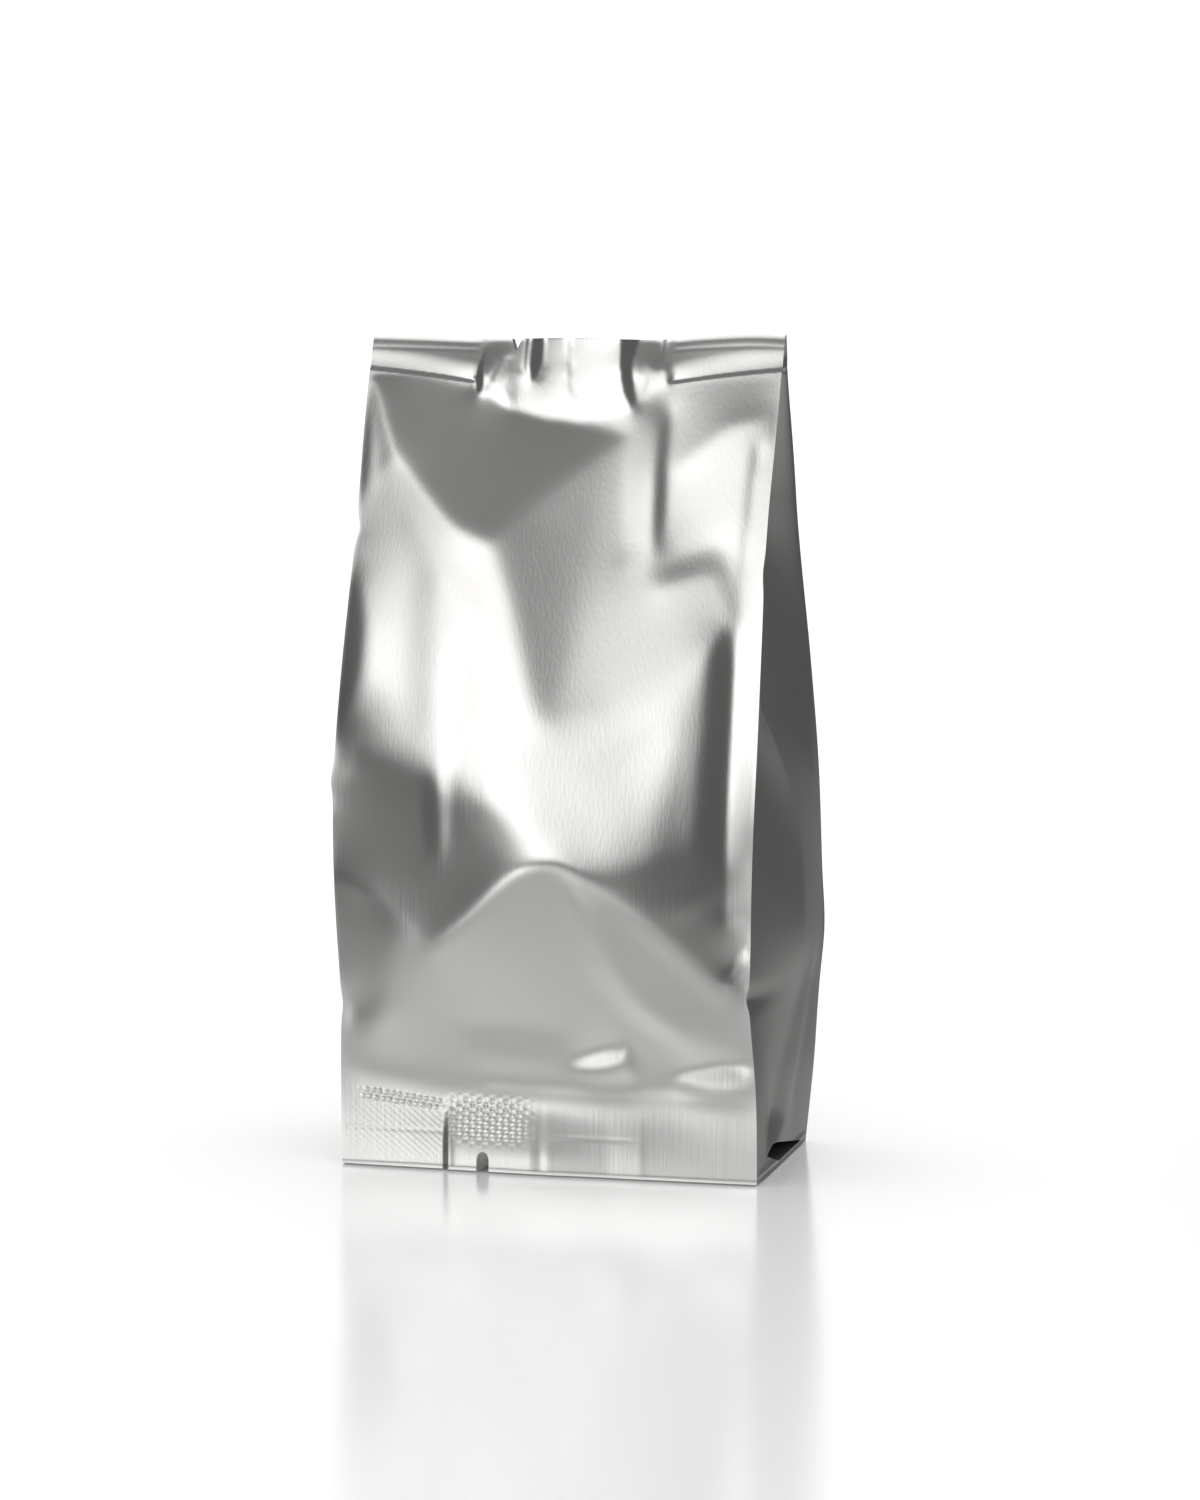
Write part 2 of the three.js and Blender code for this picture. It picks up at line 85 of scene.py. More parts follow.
def along(stations, z):
    """A smooth curve through [height, value] stations: a cubic between each two of them, whose
    slope at a station is the mean of the slopes of the two stretches that meet there."""
    heights, values = np.array(stations, float).T
    slopes = np.diff(values) / np.diff(heights)
    at_station = np.concatenate([slopes[:1], (slopes[:-1] + slopes[1:]) / 2, slopes[-1:]])
    z = np.clip(z, heights[0], heights[-1])
    i = np.clip(np.searchsorted(heights, z, side="right") - 1, 0, len(slopes) - 1)
    span = heights[i + 1] - heights[i]
    t = (z - heights[i]) / span
    a, b = values[i], values[i + 1]
    start, end = at_station[i] * span, at_station[i + 1] * span
    return (a + t * start + t**2 * (3 * (b - a) - 2 * start - end)
            + t**3 * (2 * (a - b) + start + end))


def ease(low, high, value):
    """0 below low, 1 above high, and 3t^2 - 2t^3 between them."""
    t = np.clip((value - low) / (high - low), 0, 1)
    return t * t * (3 - 2 * t)


BELLY_HEIGHT = 60.0
belly_depth = along(BACK_EDGE_Y, BELLY_HEIGHT) - along(FRONT_EDGE_Y, BELLY_HEIGHT)
print("depth of the belly between the creases:", round(float(belly_depth), 1), "mm")

# %% [markdown]
# ## The crumple of the front
#
# Foil doesn't stretch, so where the bag is squeezed it breaks into nearly flat facets that meet in
# creases. Each facet is a polygon on the panel with the way it faces: its turn, in degrees to the
# right, and its lean, in degrees upwards. A softness in millimetres says how gently it ends. Later
# facets are painted over earlier ones, as a painter works from the large forms to the small.
# A facet is moved or tilted until its crease and its shine sit right in the render.

# %% The facets of the front
FRONT_FACETS = [
    # (turn, lean, softness, corners as (x, z) from the middle of the foot)
    # the filled belly, above and below the crease that runs round it
    (-2, 14, 5, (-42, 95), (42, 95), (42, 58), (-42, 58)),
    (0, -15, 1, (-42, 57), (-30, 53), (-20, 43), (-10, 52), (-3, 58), (5, 61), (10, 57.5),
     (20, 50), (30, 41), (35, 35), (42, 37), (42, 22), (-42, 22)),
    (-3, -20, 4, (-34, 48), (-20, 40), (-6, 46), (-4, 30), (-10, 22), (-34, 22)),
    (10, -9, 2, (9, 57.5), (14, 53), (30, 39), (36, 33), (36, 24), (22, 28), (14, 36)),
    (-18, -8, 2.5, (-42, 56), (-30, 51), (-26, 44), (-30, 34), (-42, 36)),
    (-2, -20, 2.5, (-42, 26), (-22, 26), (-24, 19), (-42, 20)),
    (0, -19, 3, (-22, 26), (42, 26), (42, 17), (-22, 17)),
    (-30, -6, 1.6, (-38, 33.5), (-30, 34), (-31, 28), (-37, 27)),
    # the large facet under the top seal
    (5, 31, 0.8, (-39, 149.5), (-33, 133), (-28, 127), (-20, 119), (-15.5, 117), (-11, 117),
     (-7, 120), (0, 127), (12, 136.5), (-8, 141), (-17, 145)),
    # the long bright slope left of the middle, with its streaks
    (-12, 17.5, 1.5, (-42, 119), (-33, 130), (-28, 126), (-20, 118.5), (-12, 115.5), (-4, 98),
     (1, 84), (1, 66), (-8, 68), (-20, 72), (-30, 78), (-42, 86)),
    (-17, 17, 1.4, (-27.5, 113), (-21.5, 112), (-19.8, 84), (-26, 80)),
    (-12, 16, 1.2, (-20.8, 112), (-18, 110), (-17.5, 80), (-20.2, 80)),
    (-1, 14, 1.5, (-39, 148), (-33, 133), (-28, 127), (-20, 119.5), (-13, 117), (-6, 104), (1, 86),
     (5, 78), (1, 62), (-4, 61), (-9, 70), (-5, 80), (-10, 92), (-16, 105), (-24, 116), (-31, 124),
     (-37, 129)),
    (-10, 9, 3, (-35, 90), (-27, 91), (-19, 76), (-34, 80)),
    (-6, 14, 1, (-18.6, 100), (-16, 100), (-16, 60), (-18, 60)),
    # where the left edge turns away
    (-34, 16, 1.4, (-42, 112), (-38, 110), (-35.5, 103), (-35, 94), (-38, 84), (-42, 76)),
    (-24, 17, 1.2, (-42, 148), (-39.5, 145), (-37.5, 136), (-38.5, 126), (-42, 121)),
    # the hollow right of the middle
    (3, 21.5, 1.5, (12, 136.5), (0, 127), (-8, 119), (-10, 117), (-6, 106), (1.5, 84), (12, 88),
     (14, 112), (13, 128)),
    (10, 21, 2.5, (-10, 117), (-1, 126), (10, 134), (8, 118), (7, 104), (5, 92), (1.5, 84),
     (-1, 90), (-6.5, 110)),
    (11.5, 21.5, 1.8, (-10, 117), (-4, 122), (2, 118), (3, 106), (3, 92), (1.5, 84), (-1.5, 90),
     (-6.5, 108)),
    # the ridge beside it
    (-7, 22, 0.9, (11.5, 138.5), (12, 128), (13.5, 114), (18.5, 113), (17.2, 128), (16.2, 138.5)),
    # the steep facet beside that ridge
    (26, 23, 1, (17.4, 141), (20.2, 142), (21, 124), (20.2, 114.5), (19, 118), (17.8, 130)),
    # the top right corner
    (-2, 30.5, 1, (19.5, 147), (39, 148.5), (39, 140), (31, 138), (22, 130), (20.8, 125)),
    # the cushion below it
    (-4, 18, 1.2, (21, 117), (20.8, 125), (22, 131), (31, 137), (37, 139), (37, 116), (33, 116),
     (26, 113)),
    (8, 17, 0.8, (35, 136), (37.3, 136), (38, 104), (35.5, 106)),
    # the arc under the cushion
    (1, 17.5, 3, (16, 112), (28, 112), (34, 101), (26, 88), (8, 86), (10, 100)),
    (2, 27, 0.9, (19.5, 112.5), (26, 115), (31, 117), (34, 112), (36.5, 103), (34, 104), (31, 112),
     (26, 111), (20, 109)),
    # the bright middle
    (0, 12, 1.5, (0, 84), (8, 81), (16, 82), (24, 89), (29, 98), (31, 101), (29, 90), (23, 80),
     (15, 75), (12, 62), (6, 61), (-4, 62)),
    (2, 17, 2.5, (12, 76), (22, 82), (26, 72), (24, 60), (16, 60)),
    # the trough along the right edge
    (10, 14, 2, (22, 66), (25, 82), (29, 96), (31, 101), (33, 60), (24, 56)),
    (27, 10, 1.3, (30.8, 98), (33.5, 102.5), (35.4, 96), (35.4, 52), (30, 52)),
    (8, 9, 2, (15, 56), (20, 58), (27, 62), (32, 62), (37, 56), (38, 44), (36, 38), (30, 44),
     (20, 52)),
    (18, 2, 1.2, (13, 55.5), (20, 53), (27, 51), (32, 56), (37, 51), (38.5, 44), (36, 36),
     (30, 42), (20, 51)),
    # the rim outside it
    (-6, 13, 0.6, (37.3, 135), (42, 137), (42, 50), (35.4, 50), (35.4, 100)),
    # the upright facet left of the middle, over the point of the crease
    (-17, 4, 2.5, (-36, 82), (-26, 80), (-12, 71), (-2, 68), (0, 61), (-12, 52), (-20, 46),
     (-32, 60)),
    (-17, 1, 1, (-42, 62), (-38, 73), (-34, 79), (-28, 77), (-20, 72), (-13, 66), (-5, 60.5),
     (-10, 52), (-20, 43), (-30, 53), (-42, 56)),
    (0, 3, 1, (-18.6, 76), (-16.2, 76), (-16.6, 61), (-17.8, 61)),
    (-26, 3, 1.2, (-21.2, 74), (-18.8, 74), (-18, 61), (-20, 60)),
    # the tops of the left ridge, and the pinch in the left edge
    (-14, 17, 0.6, (-39.5, 149.5), (-36.5, 141), (-32.5, 132), (-36, 130), (-38, 139),
     (-40.5, 146)),
    (-10, 20, 2, (-30, 124), (-36, 120), (-40, 118), (-34, 108), (-28, 112)),
    (-12, 14, 0.6, (-42, 72), (-37, 84), (-34.5, 83), (-39, 71)),
    # the small dimple where the crease meets the right edge
    (-10, 15, 0.4, (36.3, 39.5), (37.5, 43), (40.5, 46), (40.5, 39)),
    (25, 0, 0.4, (36, 38.5), (38.8, 38.8), (38.5, 36.8), (36.5, 36.6)),
    # the shallow slope under the right half of the crease
    (-13, -26, 1.2, (5, 58), (8, 47), (12, 37), (18, 30), (27, 25), (30, 24), (26, 28), (18, 34),
     (13, 42), (10, 50)),
    # the rolls just above the bottom seal
    (-2, -7, 1.5, (-16, 28), (4, 28), (5, 22), (-12, 23)),
    (-9, 6, 0.7, (4, 21.4), (8, 23.6), (13, 25.4), (16.4, 25), (16.6, 22), (14, 20.6), (8, 20.2)),
    (16, -12, 0.5, (16.4, 25.6), (18.5, 24), (18, 20), (15.6, 20.4)),
    (-9, 3.6, 0.5, (24, 19.4), (27, 21.4), (33, 22.6), (39.6, 22.8), (39.6, 18.4), (32, 17.6)),
    (0, -3, 0.7, (-12, 17.8), (0, 17.2), (20, 17), (40, 17.4), (40, 15.8), (10, 15), (-12, 16)),
    # the foil between the ends of the gussets, puffed up and crumpled
    (-4, 14, 0.4, (-18.2, 145.5), (-12, 141.6), (-6, 139.6), (2, 138.8), (9, 140), (14, 142.6),
     (18.3, 146), (18.6, 156), (-18.6, 156)),
    (-50, 12, 0.2, (-19, 150.2), (-18, 150.2), (-17.4, 147.6), (-17.2, 144.6), (-18.6, 144.4)),
    (0, 27, 0.3, (-17.8, 151.6), (-12, 152), (-12.2, 156), (-18, 156)),
    (-12, 12, 0.25, (-17.4, 151.4), (-14.6, 151.4), (-16.6, 146)),
    (24, 22, 0.25, (-14.6, 151.4), (-12.8, 151), (-13.8, 148), (-15.4, 146.2), (-16.4, 146.8)),
    (14, 29, 0.3, (-12.6, 151.4), (-11.4, 156), (-8.6, 156), (-8.8, 148), (-11, 142.4),
     (-13.4, 144), (-12.6, 147.6)),
    (38, 20, 0.25, (-8.6, 156), (-8.7, 150), (-8.2, 147), (-7.2, 146.6), (-6.2, 150), (-6.1, 156)),
    (-26, 15, 0.25, (-9.6, 156), (-9.5, 148.5), (-8.8, 148.5), (-8.8, 156)),
    (20, 17, 0.25, (-1.7, 156), (-1.3, 150), (-0.4, 144), (0.1, 144), (-0.5, 150), (-0.6, 156)),
    (36, 18, 0.25, (9.4, 156), (9.3, 150), (10.2, 145), (12, 142), (13, 141.6), (12.6, 143),
     (11.4, 147), (11.6, 156)),
    (6, 27, 0.3, (11.8, 156), (11.8, 149.5), (13.4, 147), (16, 149), (16.6, 156)),
    (-16, 12, 0.25, (13.6, 148), (14.6, 150), (15.4, 149.4), (15, 146), (14, 144)),
    (-45, 15, 0.2, (16.8, 156), (17, 151), (17.5, 151), (17.5, 156)),
    (36, 15, 0.2, (17.9, 150.5), (18.4, 150.5), (18.7, 146.5), (18.1, 145.6)),
]

# %% The facets of the back and the sides
BACK_FACETS = [
    (2, 13, 5, (-42, 100), (42, 100), (42, 58), (-42, 58)),
    (0, -13, 1.2, (-42, 50), (-24, 57), (-6, 47), (4, 49), (16, 58), (30, 50), (42, 44), (42, 20),
     (-42, 20)),
    (-12, -18, 3, (-30, 50), (-8, 44), (-12, 26), (-34, 24)),
    (10, -20, 3, (6, 46), (24, 52), (34, 40), (26, 24), (6, 26)),
    (3, 28, 1, (-39, 149), (-8, 146), (-6, 130), (-15, 121), (-30, 112), (-36, 126)),
    (-8, 17, 1.2, (-36, 126), (-30, 112), (-15, 121), (-7, 104), (-6, 84), (-20, 74), (-42, 88)),
    (-3, 26, 1, (6, 147), (22, 147), (26, 128), (14, 116), (6, 124)),
    (10, 19, 1.2, (26, 128), (14, 116), (6, 98), (10, 84), (26, 86), (36, 100), (36, 124)),
    (-6, 20, 1, (-6, 124), (6, 124), (6, 84), (-6, 84)),
    (26, 20, 0.8, (22, 147), (27, 147), (30, 124), (26, 118)),
    (-30, 14, 1.2, (-42, 122), (-38, 118), (-35, 100), (-38, 84), (-42, 80)),
    (30, 14, 1.2, (42, 138), (38, 130), (36, 106), (38, 88), (42, 84)),
    (-16, 6, 1.4, (-40, 78), (-28, 82), (-22, 60), (-30, 54), (-40, 60)),
    (16, 5, 1.4, (20, 78), (34, 84), (38, 56), (26, 50), (16, 60)),
    (-4, 16, 0.6, (-30, 20.5), (-14, 21), (-10, 24), (-22, 25.5), (-34, 23.5)),
]
SIDE_FACETS = [
    # drawn as seen from the right: x = -40 is the front edge, x = 40 the back edge
    (-6, 0, 3, (-40, 147), (40, 147), (40, 120), (-40, 120)),
    (7, -2, 2, (-38, 126), (-16, 120), (-6, 104), (8, 86), (28, 76), (10, 74), (-38, 78)),
    (-12, -2, 1.5, (-16, 124), (38, 132), (38, 80), (28, 76), (8, 86), (-6, 104)),
    (-14, 3, 2.5, (-34, 79), (-8, 77), (30, 62), (37, 59), (38, 68), (20, 74), (0, 80)),
    (6, -3, 4, (-38, 72), (-10, 68), (30, 54), (36, 40), (10, 20), (-38, 20)),
    (-10, 0, 2, (4, 34), (18, 38), (10, 20), (2, 12), (-12, 14)),
    (12, 0, 1.2, (18, 36), (28, 34), (14, 12), (4, 12)),
    (-12, 0, 1.5, (28, 36), (37, 36), (36, 12), (16, 12)),
    (10, 0, 1.5, (-40, 20), (-24, 20), (-14, 10), (-20, 6), (-38, 4)),
    (-14, 10, 0.8, (-14, 12), (0, 8), (-10, 5), (-22, 5)),
]

print("facets:", len(FRONT_FACETS), "in front,", len(BACK_FACETS), "behind,", len(SIDE_FACETS),
      "on each side")

# %% The sheet that fits them
SHEET_STEP = 0.5
SHEET_ROUNDS = 1200  # at most
SHEET_TOLERANCE = 1e-9  # the search ends when the square sum of the misfits is below this
PUFF_HALF_WIDTH = 18.3  # of the puffed foil between the ends of the gussets
FOOT_EDGE = 0.6  # the strip along the foot that keeps its place
sheet_x = np.arange(-WIDTH / 2, WIDTH / 2 + SHEET_STEP / 2, SHEET_STEP)
sheet_z = np.arange(0, HEIGHT + SHEET_STEP / 2, SHEET_STEP)
grid_x, grid_z = np.meshgrid(sheet_x, sheet_z)


def inside_polygon(corners, x, z):
    """True where a line from the point to the right crosses the outline an odd number of
    times."""
    inside = np.zeros(x.shape, bool)
    for (ax, az), (bx, bz) in zip(corners, corners[1:] + corners[:1]):
        if az != bz:
            inside ^= ((az > z) != (bz > z)) & (x < (bx - ax) * (z - az) / (bz - az) + ax)
    return inside


def blur_weights(wanted, source, width):
    """How much each source line counts for each wanted line: a bell curve of that width, in
    millimetres, whose weights add up to 1."""
    weights = np.exp(-0.5 * ((wanted[:, None] - source[None, :]) / width) ** 2)
    return weights / weights.sum(axis=1, keepdims=True)


def wanted_slopes(facets, edge):
    """The slopes along x and along z that the facets ask for, on the sheet's grid. A facet turned
    by t and leaning by l goes in by tan t for each millimetre of x and by tan l / cos t of z."""
    slope_x = np.zeros_like(grid_x)
    slope_z = np.repeat(np.gradient(edge, sheet_z)[:, None], len(sheet_x), axis=1)
    for turn, lean_up, softness, *corners in facets:
        soft_x = blur_weights(sheet_x, sheet_x, softness)
        soft_z = blur_weights(sheet_z, sheet_z, softness)
        cover = soft_z @ inside_polygon(corners, grid_x, grid_z).astype(float) @ soft_x.T
        turn, lean_up = np.radians(turn), np.radians(lean_up)
        slope_x += cover * (np.tan(turn) - slope_x)
        slope_z += cover * (np.tan(lean_up) / np.cos(turn) - slope_z)
    return slope_x, slope_z


def best_sheet(facets, edge, free, width=WIDTH):
    """The sheet y(x, z) whose steps between neighbouring points are closest to the wanted slopes,
    by least squares. It keeps the edge's y wherever it isn't free. The method is conjugate
    gradients: each round goes the best length along one direction, and no direction is used twice.
    A panel of another width is drawn as if it were stretched to the width of the front."""
    slope_x, slope_z = wanted_slopes(facets, edge)
    step_x = (slope_x[:, 1:] + slope_x[:, :-1]) / 2 * SHEET_STEP * width / WIDTH
    step_z = (slope_z[1:] + slope_z[:-1]) / 2 * SHEET_STEP

    def pull(across, up):
        """How far misfits of the steps pull each free point."""
        total = np.zeros_like(grid_x)
        total[:, 1:] += across
        total[:, :-1] -= across
        total[1:] += up
        total[:-1] -= up
        return total * free

    sheet = np.repeat(edge[:, None], len(sheet_x), axis=1)
    left_over = pull(step_x - np.diff(sheet, axis=1), step_z - np.diff(sheet, axis=0))
    direction = left_over.copy()
    size = (left_over**2).sum()
    for _ in range(SHEET_ROUNDS):
        change = pull(np.diff(direction, axis=1), np.diff(direction, axis=0))
        length = size / (direction * change).sum()
        sheet += length * direction
        left_over -= length * change
        new_size = (left_over**2).sum()
        if new_size < SHEET_TOLERANCE:
            break
        direction = left_over + new_size / size * direction
        size = new_size
    return sheet


between_edges = np.abs(grid_x) < WIDTH / 2
puff = np.abs(grid_x) < PUFF_HALF_WIDTH
above_foot = between_edges & (grid_z > FOOT_EDGE)
below_seal = grid_z < HEIGHT - TOP_SEAL
front_sheet = best_sheet(FRONT_FACETS, along(FRONT_EDGE_Y, sheet_z),
                         above_foot & (below_seal | puff))
back_sheet = -best_sheet(BACK_FACETS, -along(BACK_EDGE_Y, sheet_z),
                         above_foot & (grid_z > BOTTOM_SEAL) & below_seal)
side_sheet = best_sheet(SIDE_FACETS, 0 * sheet_z, above_foot & below_seal, 2 * GUSSET_HALF)
print("the front reaches", round(float(front_sheet.min()), 1), "and the back",
      round(float(back_sheet.max()), 1), "mm")

# %% [markdown]
# ## The skin as one closed sheet
#
# A ring round the pouch at each height runs along the front, the right gusset, the back and the
# left gusset. Stacking the rings gives a closed tube, and two flat ends shut it. One sheet keeps
# the creases between the panels closed, which separate panels wouldn't.

# %% Pressed patterns: the top
# [x, height above the even top edge]
TOP_EDGE = [[-40, 0], [-30, -0.3], [-19, -0.7], [0, -0.4], [17, -0.7], [24, -0.1], [34, 0.4],
            [40, 0.2]]
# [distance from the middle, height] of the crease under the seal
SEAL_CREASE = [[0, 143], [PUFF_HALF_WIDTH, 146], [30, 147.6], [40, 148.6]]
# the seal is pressed in by this depth in the first range above that crease, and comes back out
# in the second
SEAL_STEP_DEPTH = 0.3
SEAL_STEP_IN = (0, 0.5)
SEAL_STEP_OUT = (0.5, 4.5)
SEAL_RIBS = [152.8, 154.2]
RIB_DEPTH = 0.04
RIB_WIDTH = 0.28
SEAL_FADE = 1.5  # the strip beside the puffed foil in which the pressing starts


def window(low, high, soft, value):
    """1 between low and high and 0 outside, with soft ends."""
    return ease(low - soft, low + soft, value) * (1 - ease(high - soft, high + soft, value))


def ridge(middle, width, value):
    """A bell curve that is 1 in the middle."""
    return np.exp(-((value - middle) / width) ** 2)


def seal_relief(x, z):
    """How far in the top seal is pressed: a step at the crease under it, and two fine ribs."""
    above = z - along(SEAL_CREASE, np.abs(x))
    step = SEAL_STEP_DEPTH * ease(*SEAL_STEP_IN, above) * (1 - ease(*SEAL_STEP_OUT, above))
    ribs = sum(RIB_DEPTH * ridge(height, RIB_WIDTH, z) for height in SEAL_RIBS)
    return (step + ribs) * ease(PUFF_HALF_WIDTH, PUFF_HALF_WIDTH + SEAL_FADE, np.abs(x))


# %% Pressed patterns: the foot
# (from, to, softness of the ends) says where each pattern is, in millimetres
LATTICE_PITCH = 1.5
LATTICE_DEPTH = 0.04
LATTICE_ACROSS = (-18, -4, 3.5)
LATTICE_UP = (6.0, 14.2, 1.5)
DOT_PITCH = 1.3
DOT_HEIGHT = 0.28
DOTS_START = (-38, 15.0)  # the rows run from here, and fall by this much for each millimetre
DOTS_FALL = 0.11
DOTS_ACROSS = (-36, -20, 2)
DOTS_UP = (-2.1, 0.6, 0.2)
HATCH_PITCH = 1.2
HATCH_DEPTH = 0.035
HATCH_SLANT = 0.8
HATCH_ACROSS = (-39, -20, 1.5)
HATCH_UP = (2, 12, 1.5)
LINE_HEIGHT = 7.4
LINE_WIDTH = 0.3
LINE_DEPTH = 0.03
LINE_ACROSS = [(-39, -19, 0.5), (0, 16, 3)]
# [x, turn in degrees] of the shallow buckles, and the heights between which they fade out
BUCKLE_TURNS = [[-40, -1], [-20, -1], [-19.5, -26], [-18.9, -26], [-18.4, 6], [-17.8, 6],
                [-17.2, -1.5], [-3, -1.5], [-2, 4], [-1, 4], [-0.5, -4], [0.2, -4], [1, 2.5],
                [11, 2.5], [13, -0.5], [18, -0.5], [18.8, 4], [20, 1.5], [40, 1.5]]
BUCKLE_FADE = (2, 15)
# how far the cut edge flares out and the foot under it is folded back, and where each one ends
EDGE_FLARE = 0.15
EDGE_FLARE_END = (0.35, 1.1)
UNDERCUT = 2.0
UNDERCUT_END = (0, 0.3)


def foot_patterns(x, z):
    """How far in the bottom seal is embossed. A triangular lattice is the sum of three waves at
    60 degrees to each other. Beside it are rows of dots, which are products of two waves with
    their hollows cut off, slanted hatching, which is one wave, and one long line."""
    wave = 2 * np.pi / (LATTICE_PITCH * np.cos(np.pi / 6))
    angles = np.radians([0, 60, 120])
    lattice = sum(np.cos(wave * (x * np.cos(t) + z * np.sin(t))) for t in angles)
    lattice *= LATTICE_DEPTH * window(*LATTICE_ACROSS, x) * window(*LATTICE_UP, z)
    row = z - (DOTS_START[1] - DOTS_FALL * (x - DOTS_START[0]))
    dots = np.clip(np.cos(2 * np.pi * (x + 0.5 * row) / DOT_PITCH), 0, 1)
    dots = dots * np.clip(np.cos(2 * np.pi * row / DOT_PITCH), 0, 1)
    dots *= -DOT_HEIGHT * window(*DOTS_ACROSS, x) * window(*DOTS_UP, row)
    hatch = HATCH_DEPTH * np.sin(2 * np.pi * (x * HATCH_SLANT + z) / HATCH_PITCH)
    hatch = hatch * window(*HATCH_ACROSS, x) * window(*HATCH_UP, z)
    line = LINE_DEPTH * ridge(LINE_HEIGHT, LINE_WIDTH, z)
    return lattice + dots + hatch + line * sum(window(*span, x) for span in LINE_ACROSS)


def foot_relief(x, z):
    """How far in the foil is along the foot. To the embossing come buckles that run up from the
    foot, whose turns add up from left to right. The cut edge flares a little, and under it the
    foot is folded back, which leaves a dark gap above the table."""
    turns = np.tan(np.radians(np.interp(sheet_x, *np.array(BUCKLE_TURNS, float).T)))
    buckle = np.cumsum(turns - turns.mean()) * SHEET_STEP
    buckles = np.interp(x, sheet_x, buckle) * (1 - ease(*BUCKLE_FADE, z))
    fold = UNDERCUT * (1 - ease(*UNDERCUT_END, z)) - EDGE_FLARE * (1 - ease(*EDGE_FLARE_END, z))
    return foot_patterns(x, z) + buckles + fold


print("pressed patterns: a lattice of", LATTICE_PITCH, "mm, dots of", DOT_PITCH,
      "mm and hatching of", HATCH_PITCH, "mm")

# %% The lines of the grid
FRONT_STEPS = 204
BACK_STEPS = FRONT_STEPS // 2
GUSSET_STEPS = 32
CREASE_BLUR = 0.35
# (from, to, rows with both ends): the rows are closest at the two seals
ROW_BANDS = [(0, 16, 44), (16, 138, 146), (138, 146, 13), (146, HEIGHT, 35)]
rows = np.concatenate([np.linspace(*band)[:-1] for band in ROW_BANDS] + [[HEIGHT]])
front_across = np.linspace(-1, 1, FRONT_STEPS + 1)
back_across = front_across[::2]
print("rows:", len(rows), "front columns:", len(front_across))

# %% The front and the back


def lean(z):
    """How far the pouch leans over at a height, which grows evenly from the foot to the top."""
    return TOP_LEAN * z / HEIGHT


# (side, height, depth, half the height it spans) of the small dents in the front creases
PINCHES = [(1, 35, 0.6, 2.0), (1, 112, 0.3, 3.0), (-1, 119, 0.7, 2.5), (-1, 73, -0.5, 2.5),
           (-1, 31, 0.4, 2.5)]
# the higher the power, the closer to the crease a dent ends, on the front and in the gusset
PINCH_POWER = 8
GUSSET_PINCH_POWER = 6


def pinched(a, z):
    """How far the dents in the two front creases move the panel's columns sideways. A dent is a
    bell curve in height, times a power of the share of the way from the middle to the crease."""
    return -sum(side * depth * np.maximum(a * side, 0) ** PINCH_POWER * ridge(height, span, z)
                for side, height, depth, span in PINCHES)


def on_grid(sheet, across, z_rows):
    """The sheet read off at other columns and rows, with its creases rounded a little."""
    return (blur_weights(z_rows, sheet_z, CREASE_BLUR) @ sheet
            @ blur_weights(across * WIDTH / 2, sheet_x, CREASE_BLUR).T)


def uneven_top(x, z):
    """Heights with the uneven cut of the top edge, which fades out through the seal."""
    return z + along(TOP_EDGE, x) * ease(HEIGHT - TOP_SEAL, HEIGHT, z)


def front_surface(across, z_rows):
    """Points of the front, as an array of rows by columns by 3."""
    a, z = np.meshgrid(across, z_rows)
    flat_x = a * WIDTH / 2
    y = on_grid(front_sheet, across, z_rows) + seal_relief(flat_x, z) + foot_relief(flat_x, z)
    x = lean(z) + a * along(HALF_WIDTH, z) + pinched(a, z)
    return np.stack([x, y, uneven_top(flat_x, z)], axis=-1)


BACK_SEAM_WIDTH = 10.0
BACK_SEAM_HEIGHT = 0.4
BACK_SEAM_SOFTNESS = 0.4


def back_surface(across, z_rows):
    """Points of the back, with the lap seam down its middle, as an array like the front's."""
    a, z = np.meshgrid(across, z_rows)
    flat_x = a * WIDTH / 2
    x = lean(z) + a * along(HALF_WIDTH, z) + along(BACK_SHIFT_X, z)
    from_seam_edge = BACK_SEAM_WIDTH / 2 - np.abs(flat_x)
    seam = BACK_SEAM_HEIGHT * ease(-BACK_SEAM_SOFTNESS, BACK_SEAM_SOFTNESS, from_seam_edge)
    leaf = along(LEAF_OPENING, z) * ease(PUFF_HALF_WIDTH, WIDTH / 2, np.abs(flat_x))
    y = on_grid(back_sheet, across, z_rows) + seam + leaf - seal_relief(flat_x, z)
    return np.stack([x, y, uneven_top(flat_x, z)], axis=-1)


front = front_surface(front_across, rows)
back = back_surface(back_across, rows)
print("points of the front:", front.shape[:2], "and of the back:", back.shape[:2])

# %% The gussets
# the pressed lip beside a crease, and the most of a narrow side's depth that it takes
EDGE_LIP = 0.45
EDGE_LIP_SHARE = 0.3
GUSSET_OPENS = 2.5  # a side is fully open where it is deeper than the seal by this much
VALLEY_POWER = 1.5
# heights of the foil's folded layers, which show as two ridges at the foot of a side
FOOT_LAYERS = [0.3, 1.7]
LAYER_DEPTH = 0.35
LAYER_WIDTH = 0.4
LAYER_STEEPNESS = 8  # the higher, the closer to a crease the layers reach their full depth


